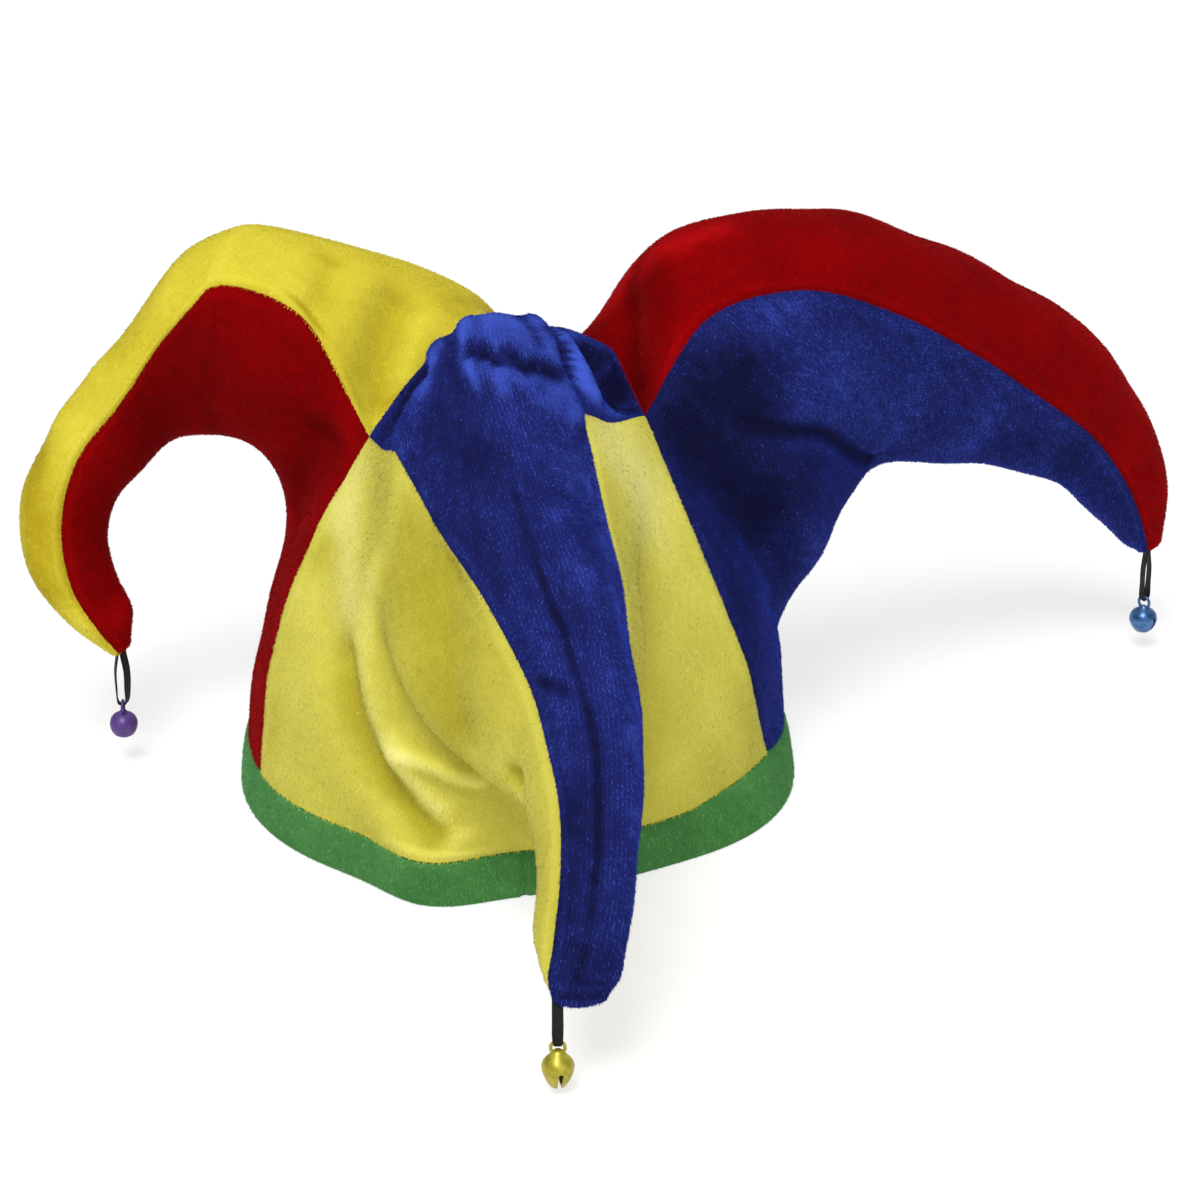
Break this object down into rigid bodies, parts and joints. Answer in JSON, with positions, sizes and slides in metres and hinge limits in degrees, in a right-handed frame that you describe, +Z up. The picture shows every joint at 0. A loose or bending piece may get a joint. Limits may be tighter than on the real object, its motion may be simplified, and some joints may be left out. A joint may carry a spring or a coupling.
{
  "type": "clown hat",
  "caption": "Soft plush clown hat with drooping horns in contrasting colours, each tipped with a small jingle bell on a ribbon loop, and a hemmed band open below for the head.",
  "frame": {"origin": "on the floor that the band's hem rests on, in the middle of the hat's extent", "axes": "+Z up, +X from the left horn to the right horn as the wearer of the picture's view sees them from in front, -Y towards the front horn"},
  "size_m": [0.393, 0.3172, 0.1933],
  "materials": {
    "plush_yellow": "short pile",
    "plush_red": "short pile",
    "plush_blue": "short pile",
    "plush_green": "short pile",
    "ribbon_black": "satin",
    "bell_purple": "gloss",
    "bell_gold": "gloss",
    "bell_sky": "gloss"
  },
  "bodies": {
    "hat": {"band": "plush_green", "lower_front": "plush_yellow", "lower_left": "plush_red", "lower_right": "plush_blue", "upper_front": "plush_blue", "upper_left": "plush_yellow", "upper_right": "plush_red", "ribbon_left": "ribbon_black", "ribbon_front": "ribbon_black", "ribbon_right": "ribbon_black"},
    "left_jingle": {"bell_left": "bell_purple"},
    "front_jingle": {"bell_front": "bell_gold"},
    "right_jingle": {"bell_right": "bell_sky"}
  },
  "joints": [
    {"name": "left_bell_swing", "type": "hinge", "parent": "hat", "child": "left_jingle", "pos_m": [-0.16523, 0.05772, 0.0226], "axis": [-1, 0, 0], "range_deg": [-60, 60]},
    {"name": "front_bell_swing", "type": "hinge", "parent": "hat", "child": "front_jingle", "pos_m": [-0.01611, -0.15383, 0.016], "axis": [0, -1, 0], "range_deg": [-60, 60]},
    {"name": "right_bell_swing", "type": "hinge", "parent": "hat", "child": "right_jingle", "pos_m": [0.19114, 0.14739, 0.0198], "axis": [-0.6428, -0.766, 0], "range_deg": [-60, 60]}
  ]
}
